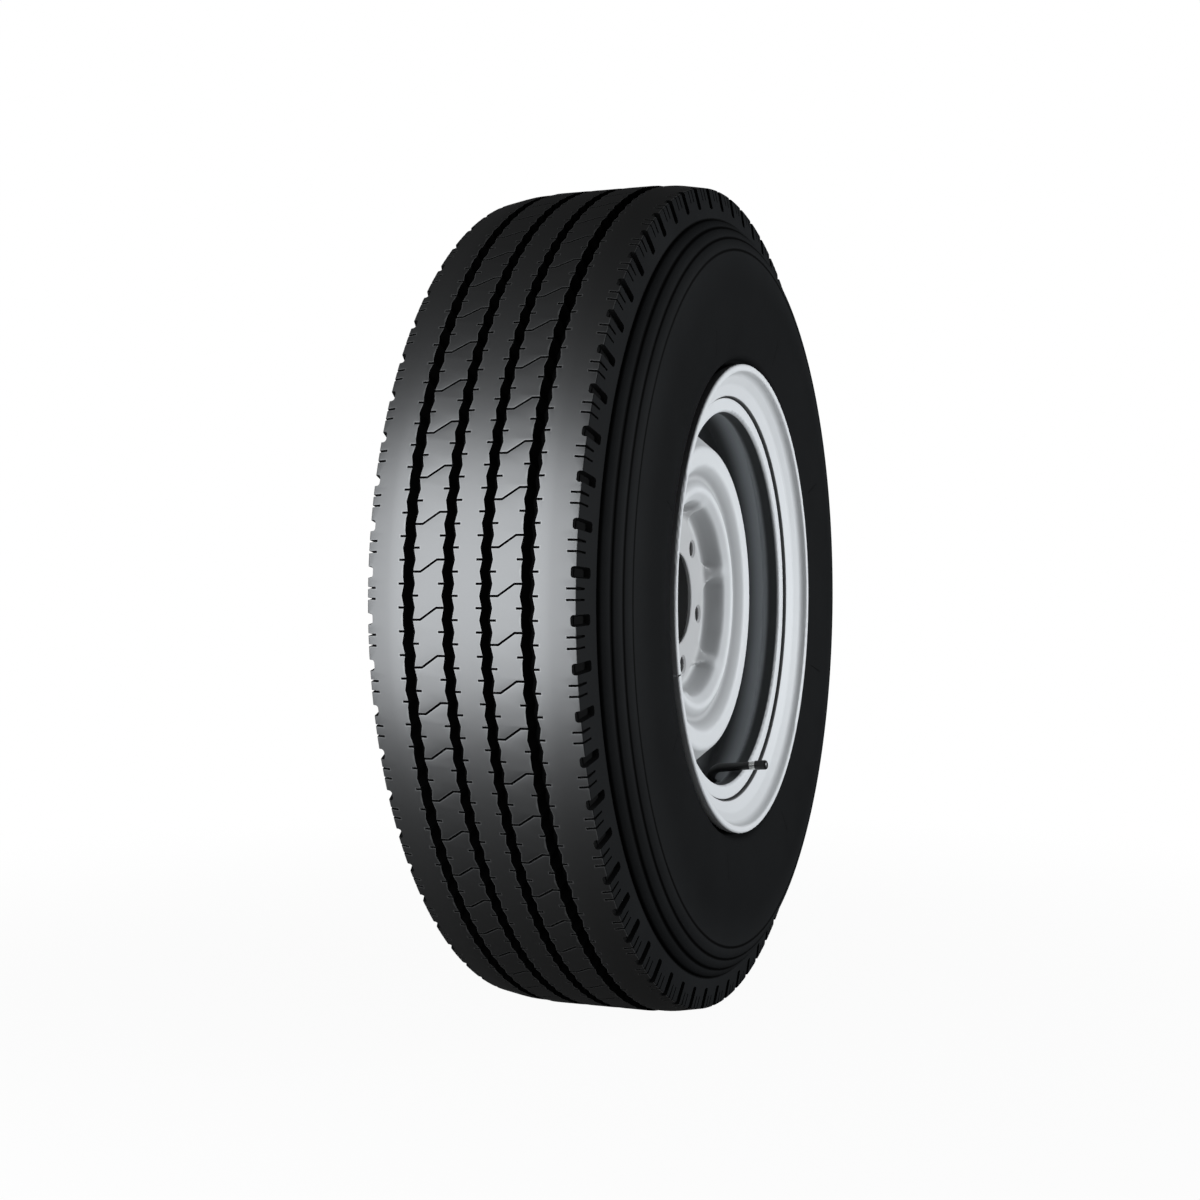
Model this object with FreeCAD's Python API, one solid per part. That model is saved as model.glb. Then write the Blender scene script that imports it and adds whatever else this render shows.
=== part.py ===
import FreeCAD, Part
import math
import os

# A light-truck tyre on its two-piece steel wheel, with tube, flap and valve.
# Millimetres and degrees. The wheel spins about Y, its outer face looks to -Y, and +Z is up.
# The origin is the middle of the wheel, on the spin axis.

# Tyre: outside form
tyre_diameter = 805.0
section_width = 239.2
widest_share = 0.5268
tread_width = 182.0
shoulder_drop = 5.5
flat_tread_width = 132.0
shoulder_wall_height = 27.5
shoulder_wall_lean = 5.0
step_width = 2.0
ridge_count = 3
ridge_band = 29.5
ridge_flare = 19.6
ridge_fullness = 3.2
ridge_bulge = 1.2
lower_wall_share = 0.2964
lower_wall_tuck = 2.8
lip_pocket = 5.5
lip_pocket_tuck = 7.6
lip_pocket_round = 8.0

# Tyre: tread pattern, repeated round the crown
pitch_count = 66
groove_depth = 12.0
groove_floor = 5.0
outer_rib_drop = 1.1
outer_groove_centre = 51.75
outer_groove_width = 10.5
inner_groove_centre = 16.5
inner_groove_width = 9.3
zigzag = 1.05
zigzags_per_pitch = 2
notch_reach = 5.0
notch_run_out = 22.0
notch_depth = 4.0
notch_deepest = 0.55

# Tyre: casing
crown_thickness = 30.0
bead_width = 23.0
toe_thickness = 13.0
toe_lean = 4.5
toe_round = 1.5
toe_inner_round = 12.0
inner_wall_drop_share = 0.06
inner_wall_inset = 16.5
inner_wall_round_share = 0.225
inner_widest_rise_share = 0.05
inner_widest_inset = 8.8
inner_widest_round_share = 0.35
casing_corner_share = 0.17
casing_corner_inset = 5.0

# Wheel rim: a 16 inch two-piece base with a sprung side ring
bead_seat_diameter = 405.6
rim_width = 190.5
seat_taper = 5.0
flange_height = 27.0
flange_reach = 19.75
flange_curl = 15.5
heel_radius = 6.5
rim_wall = 5.5
lip_thickness = 6.5
lip_round = 2.4
well_depth = 18.8
well_width = 60.0
well_slope = 15.0
well_round = 8.0
rolled_run = 2.0
seat_round = 6.0
gutter_face = 94.0
gutter_lip_drop = 4.2
gutter_lip_width = 5.0
gutter_width = 9.0
gutter_depth = 8.1
opening_drop = 18.7
gutter_length = 16.0
gutter_run = 6.0
gutter_rounds = (1.5, 2.0)
opening_rounds = (3.0, 4.0)
ring_stand = 3.0
ring_front_height = 8.0
ring_front_thickness = 6.5
ring_front_round = 14.0
ring_groove_width = 3.0
ring_groove_depth = 7.0
ring_groove_round = 9.0
ring_edge_rounds = (0.8, 2.0)
ring_cut_width = 1.5
ring_cut_angle = 197.0

# Wheel disc: one pressing
disc_thickness = 6.0
hub_bore_diameter = 93.0
hub_face = 32.0
hub_flat_diameter = 170.0
stud_circle = 139.7
stud_count = 6
stud_angle = -13.3
stud_hole_diameter = 15.5
stud_seat_diameter = 19.4
slope_diameter = 198.0
slope_height = 16.5
dish_crest_diameter = 229.0
dish_crest_height = 28.5
valley_share = 0.2116
valley_height = 20.5
band_share = 0.329
band_height = 31.3
band_edge_share = 0.556
band_edge_height = 32.0
skirt_start = 36.0
skirt_end = 10.0
hub_flat_round = 7.0
slope_round = 14.0
dish_crest_round = 7.0
valley_round = 5.0
band_rounds = (6.5, 7.0)
skirt_round = 10.0
pocket_inner_diameter = 162.0
pocket_outer_diameter = 200.8
pocket_floor_width = 8.0
pocket_depth = 2.0
pocket_arc = 42.0
pocket_wall_height = 21.0
pocket_floor_round = 4.0
pocket_over = 2.0
pocket_back_inner = 0.4
pocket_back_outer = 0.6

# Tube and flap
flap_thickness = 2.5
flap_edge = 68.0
tube_wall = 3.0
tube_floor_share = 0.95

# Valve, in the radial plane at valve_angle, leaning towards the axis
valve_angle = -74.3
valve_lean = 6.0
valve_hole_y = -58.0
valve_hole_diameter = 13.0
valve_corner_drop = 21.9
bend_radius = 14.0
stem_root_diameter = 9.0
stem_end_diameter = 7.6
stem_length = 43.2
air_bore = 2.4
pad_diameter = 36.0
shank_diameter = 6.2
shank_length = 18.0
collar_diameter = 8.2
collar_length = 6.0
thread_diameter = 7.7
thread_length = 10.0
core_bore_diameter = 5.2
core_bore_depth = 8.0
chamber_diameter = 4.2
bore_taper = 1.0
plug_diameter = 4.9
plug_length = 5.5
plug_inset = 1.0
barrel_diameter = 3.5
barrel_bore = 2.6
barrel_length = 7.5
barrel_lip = 1.0
gasket_thickness = 1.0
gasket_drop = 1.2
pin_diameter = 1.2
pin_hole_diameter = 1.36
pin_stand = 0.6
pin_flange_diameter = 2.3
pin_flange_thickness = 0.6
pin_travel = 1.5
cup_diameter = 3.3
cup_length = 1.4
spring_wire = 0.36
spring_turns = 5.0
cap_diameter = 9.6
cap_length = 12.5
cap_round = 2.6
cap_seal_thickness = 1.0
cap_seal_hole = 2.4
edge_break = 0.3

# Clearances between neighbouring pieces
bead_clearance = 0.4
lay_clearance = 0.4
weld_clearance = 0.2
ring_clearance = 0.5
valve_clearance = 0.1
core_clearance = 0.02

vector = FreeCAD.Vector
origin = vector(0, 0, 0)
axle = vector(0, 1, 0)

crown_r = tyre_diameter / 2
half_section = section_width / 2
half_tread = tread_width / 2
seat_r = bead_seat_diameter / 2
section_height = crown_r - seat_r
widest_radius = seat_r + widest_share * section_height
lower_wall_radius = seat_r + lower_wall_share * section_height
flange_y = rim_width / 2
flange_r = seat_r + flange_height
lip_y = flange_y + flange_reach
well_r = seat_r - well_depth
opening_r = seat_r - opening_drop
gutter_lip_r = seat_r - gutter_lip_drop
skirt_r = well_r - rim_wall - weld_clearance
valve_corner_radius = seat_r - valve_corner_drop
disc_face = hub_face + disc_thickness
crest_r = dish_crest_diameter / 2
rim_run = skirt_r - crest_r


def seat(y):
    """Radius of the tapered bead seat at an axial place."""
    return seat_r - (flange_y - abs(y)) * math.tan(math.radians(seat_taper))


def mirrored(points):
    """The same outline points on the other side of the wheel, in reverse order."""
    return [(r, -y, fillet) for r, y, fillet in reversed(points)]


def offset(points, distance):
    """An open outline moved sideways: positive goes to the left of its direction."""
    sides = []
    for (r0, y0, _), (r1, y1, _) in zip(points, points[1:]):
        length = math.hypot(r1 - r0, y1 - y0)
        normal = (-(y1 - y0) / length, (r1 - r0) / length)
        sides.append(((r0, y0), (r1 - r0, y1 - y0), normal))
    moved = []
    for index, (r, y, fillet) in enumerate(points):
        before = sides[max(index - 1, 0)]
        after = sides[min(index, len(sides) - 1)]
        turn = before[1][0] * after[1][1] - before[1][1] * after[1][0]
        spread = 1 + before[2][0] * after[2][0] + before[2][1] * after[2][1]
        step = [(before[2][axis] + after[2][axis]) * distance / spread for axis in (0, 1)]
        grown = fillet - math.copysign(distance, distance * turn) if fillet else 0.0
        moved.append((r + step[0], y + step[1], max(grown, 0.0)))
    return moved


def corner(before, point, after):
    """The two ends and the middle of the round at one corner of an outline."""
    here = vector(point[0], point[1], 0)
    back = (vector(before[0], before[1], 0) - here).normalize()
    ahead = (vector(after[0], after[1], 0) - here).normalize()
    half = back.getAngle(ahead) / 2
    reach = point[2] / math.tan(half)
    centre = here + (back + ahead).normalize() * (point[2] / math.sin(half))
    middle = centre + (here - centre).normalize() * point[2]
    return here + back * reach, middle, here + ahead * reach


def outline(points, closed=True):
    """A wire through (radius, y, round) points, with straight runs and tangent rounds."""
    edges = []
    stops = []
    count = len(points)
    for index, point in enumerate(points):
        inner = closed or 0 < index < count - 1
        if point[2] > 0 and inner:
            stops.append(corner(points[index - 1], point, points[(index + 1) % count]))
        else:
            here = vector(point[0], point[1], 0)
            stops.append((here, None, here))
    for index, (start, middle, end) in enumerate(stops):
        if middle is not None:
            edges.append(Part.Arc(start, middle, end).toShape())
        follows = stops[(index + 1) % count][0]
        if (closed or index < count - 1) and end.distanceToPoint(follows) > 1e-6:
            edges.append(Part.makeLine(end, follows))
    return Part.Wire(edges)


def ring(points):
    """A full turn of a closed outline about the axle."""
    return Part.Face(outline(points)).revolve(origin, axle, 360)


def turned(shape, angle):
    """A copy turned about the axle, from the +X side towards +Z."""
    copy = shape.copy()
    copy.rotate(origin, axle, -angle)
    return copy


def around(shape, count, start):
    """Evenly spaced copies about the axle."""
    return [turned(shape, start + index * 360 / count) for index in range(count)]


def on_circle(r, y, angle):
    """The point at a radius, an axial place and an angle about the axle."""
    return vector(r * math.cos(math.radians(angle)), y, r * math.sin(math.radians(angle)))


def write(node, shape):
    """One node of the part as a STEP file."""
    shape.exportStep("parts/" + node + ".step")


# Tyre


def ridge_foot():
    """Where the stepped ridges begin, under the shoulder wall."""
    wall_foot_r = crown_r - shoulder_drop - shoulder_wall_height
    return wall_foot_r - step_width, half_tread + shoulder_wall_lean


def ridge_creases():
    """The creases between the sidewall's ridges, evenly spaced along one arc."""
    r, y = ridge_foot()
    first = vector(r, y, 0)
    last = vector(r - ridge_band, y + ridge_flare, 0)
    across = vector(ridge_flare, ridge_band, 0).normalize()
    middle = (first + last) / 2 + across * ridge_fullness
    return Part.Arc(first, middle, last).toShape().discretize(Number=ridge_count + 1)


def bead_outline():
    """The tyre below its sidewall and inside, from the outer wall to the crown, on the +Y side."""
    face_y = flange_y - bead_clearance
    toe_y = face_y - bead_width
    inner_crown = crown_r - crown_thickness
    wall_r = lower_wall_radius - inner_wall_drop_share * section_height
    shoulder_r = widest_radius + inner_widest_rise_share * section_height
    return [
        (lower_wall_radius, half_section - lower_wall_tuck, 0),
        (flange_r + lip_pocket, half_section - lip_pocket_tuck, lip_pocket_round),
        (flange_r, face_y, flange_curl + bead_clearance),
        (seat(face_y) + bead_clearance, face_y, heel_radius),
        (seat(toe_y) + bead_clearance, toe_y, toe_round),
        (seat_r + toe_thickness, toe_y + toe_lean, toe_inner_round),
        (wall_r, half_section - inner_wall_inset, inner_wall_round_share * section_height),
        (shoulder_r, half_section - inner_widest_inset, inner_widest_round_share * section_height),
        (inner_crown, half_tread - casing_corner_inset, casing_corner_share * section_height),
        (inner_crown, 0, 0),
    ]


def sidewall_edges(side):
    """One sidewall from the shoulder step to the middle of the casing, on the given side."""
    creases = ridge_creases()
    edges = []
    for start, end in zip(creases, creases[1:]):
        along = end - start
        out = vector(-along.y, along.x, 0).normalize()
        if out.y < 0:
            out = -out
        edges.append(Part.Arc(start, (start + end) / 2 + out * ridge_bulge, end).toShape())
    below = bead_outline()
    widest = vector(widest_radius, half_section, 0)
    edges.append(Part.Arc(creases[-1], widest, vector(below[0][0], below[0][1], 0)).toShape())
    edges += outline(below, closed=False).Edges
    if side < 0:
        edges = [edge.mirror(origin, axle) for edge in edges]
    return edges


def tread_section(station):
    """The tread's rails across one station, from the +Y shoulder to the -Y shoulder."""
    swing = zigzag if station % 2 else -zigzag
    floor_r = crown_r - groove_depth
    rib_r = crown_r - outer_rib_drop
    rails = [(rib_r, flat_tread_width / 2)]
    grooves = (
        (outer_groove_centre, outer_groove_width, rib_r, crown_r),
        (inner_groove_centre, inner_groove_width, crown_r, crown_r),
    )
    crossing = list(grooves)
    crossing += [(-y, width, after_r, before_r) for y, width, before_r, after_r in reversed(grooves)]
    for centre, width, before_r, after_r in crossing:
        walls = ((before_r, width / 2), (floor_r, groove_floor / 2))
        walls += ((floor_r, -groove_floor / 2), (after_r, -width / 2))
        rails += [(r, centre + half + swing * r / crown_r) for r, half in walls]
    rails.append((rib_r, -flat_tread_width / 2))
    return rails


def shoulder_faces(side, angles, notched):
    """The tread edge and shoulder wall between two stations, plain or with a notch."""
    rib_r = tread_section(0)[0][0]
    edge_r = crown_r - shoulder_drop
    flat_y = flat_tread_width / 2
    foot_r, foot_y = ridge_foot()
    foot_r += step_width
    share = notch_reach / (half_tread - flat_y)
    lip_r = edge_r + (rib_r - edge_r) * share
    lip_point = (lip_r, half_tread - notch_reach)
    run_out = notch_run_out / shoulder_wall_height
    end_point = (edge_r - notch_run_out, half_tread + shoulder_wall_lean * run_out)
    deep_r = edge_r - notch_deepest * notch_run_out
    deep_point = (deep_r, half_tread - notch_depth + shoulder_wall_lean / 2)
    edge_point = (edge_r, half_tread)
    if notched:
        strip = [(rib_r, flat_y), lip_point, deep_point, end_point, (foot_r, foot_y)]
    else:
        strip = [(rib_r, flat_y), edge_point, (foot_r, foot_y)]
    faces = []
    for (r0, y0), (r1, y1) in zip(strip, strip[1:]):
        quad = [
            on_circle(r0, side * y0, angles[0]),
            on_circle(r1, side * y1, angles[0]),
            on_circle(r1, side * y1, angles[1]),
            on_circle(r0, side * y0, angles[1]),
        ]
        faces.append(flat_face(quad))
    if notched:
        for angle in angles:
            cheek = [on_circle(r, side * y, angle) for r, y in (edge_point, lip_point, deep_point, end_point)]
            faces.append(flat_face(cheek))
    return faces


def flat_face(points):
    """A flat face inside a closed run of points."""
    return Part.Face(Part.makePolygon(points + points[:1]))


def make_tyre():
    """The moulded tyre: zigzag-grooved tread, notched shoulders, ridged sidewalls and hollow casing."""
    stations = pitch_count * zigzags_per_pitch * 2
    stations_per_pitch = zigzags_per_pitch * 2
    step = 360 / stations
    faces = []
    for station in range(stations):
        angles = (station * step, (station + 1) * step)
        rails = [tread_section(station), tread_section(station + 1)]
        for index in range(len(rails[0]) - 1):
            quad = [
                on_circle(*rails[0][index], angles[0]),
                on_circle(*rails[0][index + 1], angles[0]),
                on_circle(*rails[1][index + 1], angles[1]),
                on_circle(*rails[1][index], angles[1]),
            ]
            faces.append(flat_face(quad))
        notched = station % stations_per_pitch == 0
        for side in (1, -1):
            faces += shoulder_faces(side, angles, notched)
    wall = Part.Wire(Part.__sortEdges__(sidewall_edges(1) + sidewall_edges(-1)))
    casing = wall.revolve(origin, axle, 360)
    faces += casing.Faces
    foot_r, foot_y = ridge_foot()
    for side in (1, -1):
        rim_points = [on_circle(foot_r + step_width, side * foot_y, k * step) for k in range(stations)]
        outer = Part.makePolygon(rim_points + rim_points[:1])
        inner = Part.Wire(Part.makeCircle(foot_r, vector(0, side * foot_y, 0), axle))
        faces.append(Part.Face([outer, inner]))
    shell = Part.makeCompound(faces)
    shell.sewShape(1e-4)
    solid = Part.Solid(shell.Shells[0])
    if solid.Volume < 0:
        solid.reverse()
    return solid


# Wheel


def rim_top():
    """The rim base's tyre side between the two beads, from -Y to +Y."""
    well_y = well_width / 2
    slope_y = well_y + well_slope
    half = [(well_r, well_y, well_round), (seat(slope_y), slope_y, well_round)]
    return mirrored(half) + half


def make_rim_base():
    """The rolled rim base: side-ring gutter, tapered seats, drop well and fixed back flange."""
    gutter_floor_r = gutter_lip_r - gutter_depth
    gutter_back = gutter_face - gutter_lip_width - gutter_width
    well_y = well_width / 2
    slope_y = well_y + well_slope
    inner_seat = seat(slope_y) - rim_wall
    points = [
        (opening_r, -gutter_face, opening_rounds[0]),
        (gutter_lip_r, -gutter_face, gutter_rounds[1]),
        (gutter_lip_r, -gutter_face + gutter_lip_width, gutter_rounds[0]),
        (gutter_floor_r, -gutter_face + gutter_lip_width, gutter_rounds[0]),
        (gutter_floor_r, -gutter_back, gutter_rounds[1]),
        (seat(gutter_back), -gutter_back, gutter_rounds[0]),
    ]
    points += rim_top()
    points += [
        (seat_r, flange_y, heel_radius),
        (flange_r, flange_y, flange_curl),
        (flange_r, lip_y, lip_round),
        (flange_r - lip_thickness, lip_y, lip_round),
        (flange_r - lip_thickness, flange_y + rim_wall, flange_curl - rim_wall),
        (seat_r - rim_wall, flange_y + rim_wall, heel_radius + rim_wall),
        (inner_seat, slope_y + rolled_run, seat_round),
        (well_r - rim_wall, well_y + rolled_run, well_round),
        (well_r - rim_wall, -well_y - rolled_run, well_round),
        (inner_seat, -slope_y - rolled_run, seat_round),
        (seat(gutter_back) - rim_wall, -gutter_face + gutter_length + gutter_run, opening_rounds[1]),
        (opening_r, -gutter_face + gutter_length, opening_rounds[1]),
    ]
    hole = Part.makeCylinder(valve_hole_diameter / 2, seat_r, origin, vector(1, 0, 0))
    hole.translate(vector(0, valve_hole_y, 0))
    return ring(points).cut(turned(hole, valve_angle))


def make_side_ring():
    """The sprung side ring: outer flange, bead seat and the foot that drops in the gutter."""
    gap = ring_clearance
    gutter_front = gutter_face - gutter_lip_width
    gutter_back = gutter_front - gutter_width
    foot_r = gutter_lip_r - gutter_depth + gap
    front_y = flange_y + ring_front_thickness
    groove_r = flange_r - lip_thickness - ring_groove_width
    small, large = ring_edge_rounds
    points = [
        (gutter_lip_r + gap, -gutter_face - ring_stand, large),
        (seat_r + ring_front_height, -front_y, ring_front_round),
        (groove_r, -lip_y + ring_groove_depth, ring_groove_round),
        (flange_r - lip_thickness, -lip_y, lip_round),
        (flange_r, -lip_y, lip_round),
        (flange_r, -flange_y, flange_curl),
        (seat_r, -flange_y, heel_radius),
        (seat(gutter_back + gap), -gutter_back - gap, small),
        (foot_r, -gutter_back - gap, large),
        (foot_r, -gutter_front + gap, small),
        (gutter_lip_r + gap, -gutter_front + gap, small),
    ]
    cut = Part.makeBox(flange_r, section_width, ring_cut_width)
    cut.translate(vector(opening_r, -section_width, -ring_cut_width / 2))
    return ring(points).cut(turned(cut, ring_cut_angle))


def disc_outline():
    """The outer face of the wheel disc, from the hub bore to the end of its skirt."""
    inner_round, outer_round = band_rounds
    return [
        (hub_bore_diameter / 2, -disc_face, 0),
        (hub_flat_diameter / 2, -disc_face, hub_flat_round),
        (slope_diameter / 2, -disc_face - slope_height, slope_round),
        (crest_r, -disc_face - dish_crest_height, dish_crest_round),
        (crest_r + valley_share * rim_run, -disc_face - valley_height, valley_round),
        (crest_r + band_share * rim_run, -disc_face - band_height, inner_round),
        (crest_r + band_edge_share * rim_run, -disc_face - band_edge_height, outer_round),
        (skirt_r, -skirt_start, skirt_round),
        (skirt_r, -skirt_end, 0),
    ]


def pocket(grow):
    """One pocket of the disc outside a stud hole, grown by the sheet for the back face."""
    inner = pocket_inner_diameter / 2 - grow * pocket_back_inner
    outer = pocket_outer_diameter / 2 + grow * pocket_back_outer
    floor = -disc_face + pocket_depth + grow
    top = -disc_face - 2 * band_height
    start = inner + pocket_depth
    points = [
        (inner - pocket_over, floor - pocket_depth - pocket_over, 0),
        (start, floor, 0),
        (start + pocket_floor_width + grow * pocket_back_outer, floor, pocket_floor_round),
        (outer, floor - pocket_wall_height, 0),
        (outer, top, 0),
        (inner - pocket_over, top, 0),
    ]
    arc = pocket_arc + 2 * math.degrees(grow / inner)
    block = Part.Face(outline(points)).revolve(origin, axle, arc)
    return turned(block, arc / 2)


def make_wheel_disc():
    """The pressed wheel disc with hub bore, six stud holes and a pocket outside each."""
    face = disc_outline()
    back = offset(face, disc_thickness)
    closing = [(hub_bore_diameter / 2, -skirt_end, 0)]
    front_block = ring(face + closing)
    inner_r = hub_bore_diameter / 2 - disc_thickness
    inner_closing = [(back[-1][0], disc_thickness, 0), (inner_r, disc_thickness, 0), (inner_r, back[0][1], 0)]
    back_block = ring(back[1:] + inner_closing)
    front_block = front_block.cut(around(pocket(0), stud_count, stud_angle))
    back_block = back_block.cut(around(pocket(disc_thickness), stud_count, stud_angle))
    disc = front_block.cut(back_block)
    stud_r = stud_circle / 2
    hole = Part.makeCylinder(stud_hole_diameter / 2, 4 * disc_thickness)
    cone_height = stud_seat_diameter / 2
    cone = Part.makeCone(stud_seat_diameter / 2, 0, cone_height)
    hole = hole.fuse(cone)
    hole.rotate(origin, vector(1, 0, 0), -90)
    hole.translate(vector(stud_r, -disc_face, 0))
    return disc.cut(around(hole, stud_count, stud_angle))


# Tube and flap


def lay_on_rim(low, high):
    """A ring that lies over the rim base between the beads, from one height to another."""
    path = [(seat(flap_edge), -flap_edge, 0)] + rim_top() + [(seat(flap_edge), flap_edge, 0)]
    lower = [(r + low, y, fillet) for r, y, fillet in path]
    upper = [(r + high, y, fillet) for r, y, fillet in reversed(path)]
    return lower, upper


def radial_plug(diameter):
    """A radial cylinder on the valve hole's line, in the valve's plane."""
    plug = Part.makeCylinder(diameter / 2, crown_r - crown_thickness, origin, vector(1, 0, 0))
    plug.translate(vector(0, valve_hole_y, 0))
    return plug


def make_rim_flap():
    """The rubber flap between the rim and the tube, with a round opening for the valve pad."""
    lower, upper = lay_on_rim(lay_clearance, lay_clearance + flap_thickness)
    opening = radial_plug(pad_diameter + 2 * lay_clearance)
    return ring(lower + upper).cut(turned(opening, valve_angle))


def make_inner_tube():
    """The inflated tube: a hollow ring that fills the casing, with a hole under the valve."""
    _, floor = lay_on_rim(0, 2 * lay_clearance + flap_thickness)
    floor = list(reversed(floor))
    dome = bead_outline()[5:-1]
    outside = offset(dome, -lay_clearance)
    inside = offset(dome, -lay_clearance - tube_wall)
    inner_floor = [(r + tube_wall, y * tube_floor_share, fillet) for r, y, fillet in floor]
    outer = floor + outside + mirrored(outside)
    inner = inner_floor + inside + mirrored(inside)
    hollow = ring(outer).cut(ring(inner))
    return hollow.cut(turned(radial_plug(air_bore), valve_angle))


# Valve


def valve_place(shape):
    """A piece drawn along +Z from the valve's corner, put in its place on the wheel."""
    lean = math.radians(valve_lean)
    along = vector(-math.sin(lean), -math.cos(lean), 0)
    turn = FreeCAD.Rotation(vector(0, 0, 1), along)
    place = FreeCAD.Placement(vector(valve_corner_radius, valve_hole_y, 0), turn)
    copy = shape.copy()
    copy.Placement = place.multiply(copy.Placement)
    return turned(copy, valve_angle)


def turned_piece(points):
    """A piece turned about +Z from a closed outline of (radius, height, round) points."""
    piece = Part.Face(outline(points)).revolve(origin, axle, 360)
    piece.rotate(origin, vector(1, 0, 0), 90)
    return piece


def tube_piece(outer, inner, low, high):
    """A plain turned sleeve between two heights."""
    return turned_piece([(inner / 2, low, 0), (outer / 2, low, 0), (outer / 2, high, 0), (inner / 2, high, 0)])


def rod_piece(diameter, low, high):
    """A plain turned rod between two heights."""
    return Part.makeCylinder(diameter / 2, high - low, vector(0, 0, low))


collar_top = stem_length + collar_length
thread_top = collar_top + thread_length
shank_low = stem_length - shank_length
core_floor = thread_top - core_bore_depth
plug_top = thread_top - plug_inset
plug_low = plug_top - plug_length
barrel_low = plug_low - barrel_length
spring_low = barrel_low + barrel_lip
flange_low = plug_low - pin_flange_thickness - edge_break
cup_low = barrel_low - cup_length - valve_clearance
chamber_floor = cup_low - 2 * pin_travel


def bent_run(diameter):
    """The stem's radial run and its bend, in the valve's plane."""
    lean = math.radians(valve_lean)
    turn = math.pi / 2 - lean
    reach = bend_radius * math.tan(turn / 2)
    start_r = valve_corner_radius + reach
    run = Part.makeCylinder(diameter / 2, seat(valve_hole_y) + lay_clearance + flap_thickness / 2 - start_r)
    run.rotate(origin, vector(0, 1, 0), 90)
    run.translate(vector(start_r, valve_hole_y, 0))
    disc = Part.Face(Part.Wire(Part.makeCircle(diameter / 2, vector(start_r, valve_hole_y, 0), vector(1, 0, 0))))
    centre = vector(start_r, valve_hole_y - bend_radius, 0)
    bend = disc.revolve(centre, vector(0, 0, 1), math.degrees(turn))
    return run, bend, reach


def make_valve_stem():
    """The moulded rubber stem: a pad on the tube, a bend and a long tapered run."""
    lower, upper = lay_on_rim(lay_clearance, lay_clearance + flap_thickness)
    pad = ring(lower + upper).common(turned(radial_plug(pad_diameter), valve_angle))
    run, bend, reach = bent_run(stem_root_diameter)
    straight = Part.makeCone(
        stem_root_diameter / 2, stem_end_diameter / 2, stem_length - reach, vector(0, 0, reach)
    )
    stem = turned(run.fuse(bend), valve_angle).fuse(valve_place(straight)).fuse(pad)
    bore_run, bore_bend, reach = bent_run(air_bore)
    through = turned(radial_plug(air_bore), valve_angle)
    through = through.common(pad)
    bore = turned(bore_run.fuse(bore_bend), valve_angle)
    bore = bore.fuse(valve_place(rod_piece(air_bore, reach, stem_length)))
    socket = valve_place(rod_piece(shank_diameter, shank_low, stem_length))
    return stem.cut([bore, through, socket]).removeSplitter()


def make_valve_tip():
    """The metal valve end: a shank bonded in the rubber, a collar and a threaded mouth."""
    points = [
        (air_bore / 2, shank_low, 0),
        (shank_diameter / 2, shank_low, 0),
        (shank_diameter / 2, stem_length, 0),
        (collar_diameter / 2, stem_length, edge_break),
        (collar_diameter / 2, collar_top, edge_break),
        (thread_diameter / 2, collar_top, 0),
        (thread_diameter / 2, thread_top, edge_break),
        (core_bore_diameter / 2, thread_top, edge_break),
        (core_bore_diameter / 2, core_floor, 0),
        (chamber_diameter / 2, core_floor - bore_taper, 0),
        (chamber_diameter / 2, chamber_floor, 0),
        (air_bore / 2, chamber_floor - bore_taper, 0),
    ]
    return valve_place(turned_piece(points))


def make_valve_core_body():
    """The core's plug and spring barrel, screwed in the valve mouth."""
    points = [
        (pin_hole_diameter / 2, barrel_low, 0),
        (barrel_diameter / 2, barrel_low, 0),
        (barrel_diameter / 2, plug_low, 0),
        (plug_diameter / 2, plug_low + gasket_thickness, 0),
        (plug_diameter / 2, plug_top, edge_break),
        (pin_hole_diameter / 2, plug_top, 0),
        (pin_hole_diameter / 2, plug_low, 0),
        (barrel_bore / 2, plug_low, 0),
        (barrel_bore / 2, spring_low, 0),
        (pin_hole_diameter / 2, spring_low, 0),
    ]
    return valve_place(turned_piece(points))


def make_valve_core_gasket():
    """The sealing ring under the core's plug, on the valve's inner seat."""
    low = plug_low - gasket_drop
    bore = barrel_diameter + 2 * core_clearance
    return valve_place(tube_piece(chamber_diameter - 2 * valve_clearance, bore, low, plug_low))


def make_valve_core_pin():
    """The core's pin with the flange that the spring pushes on."""
    pin = rod_piece(pin_diameter, barrel_low - cup_length, plug_top + pin_stand)
    pin = pin.fuse(rod_piece(pin_flange_diameter, flange_low, flange_low + pin_flange_thickness))
    return valve_place(pin.removeSplitter())


def make_valve_core_cup():
    """The sealing cup on the pin's inner end."""
    return valve_place(tube_piece(cup_diameter, pin_diameter, cup_low, cup_low + cup_length))


def make_valve_core_spring():
    """The core's coil spring, between the barrel's lip and the pin's flange."""
    height = flange_low - spring_low - spring_wire - 2 * core_clearance
    coil_r = (barrel_bore - spring_wire) / 2 - valve_clearance
    helix = Part.makeHelix(height / spring_turns, height, coil_r)
    start = vector(coil_r, 0, 0)
    section = Part.Wire(Part.makeCircle(spring_wire / 2, start, vector(0, 1, 0)))
    spring = Part.Wire(helix.Edges).makePipeShell([section], True, True)
    spring.translate(vector(0, 0, spring_low + spring_wire / 2 + core_clearance))
    return valve_place(spring)


def make_valve_cap():
    """The valve cap: a round-ended cup over the threaded mouth."""
    low = collar_top + valve_clearance
    top = low + cap_length
    bore = thread_diameter / 2 + valve_clearance
    roof = thread_top + cap_seal_thickness + 2 * valve_clearance
    points = [
        (0, roof, 0),
        (bore, roof, 0),
        (bore, low, 0),
        (cap_diameter / 2, low, edge_break),
        (cap_diameter / 2, top, cap_round),
        (0, top, 0),
    ]
    return valve_place(turned_piece(points))


def make_valve_cap_seal():
    """The rubber disc in the roof of the cap."""
    low = thread_top + valve_clearance
    return valve_place(tube_piece(thread_diameter, cap_seal_hole, low, low + cap_seal_thickness))


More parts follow.
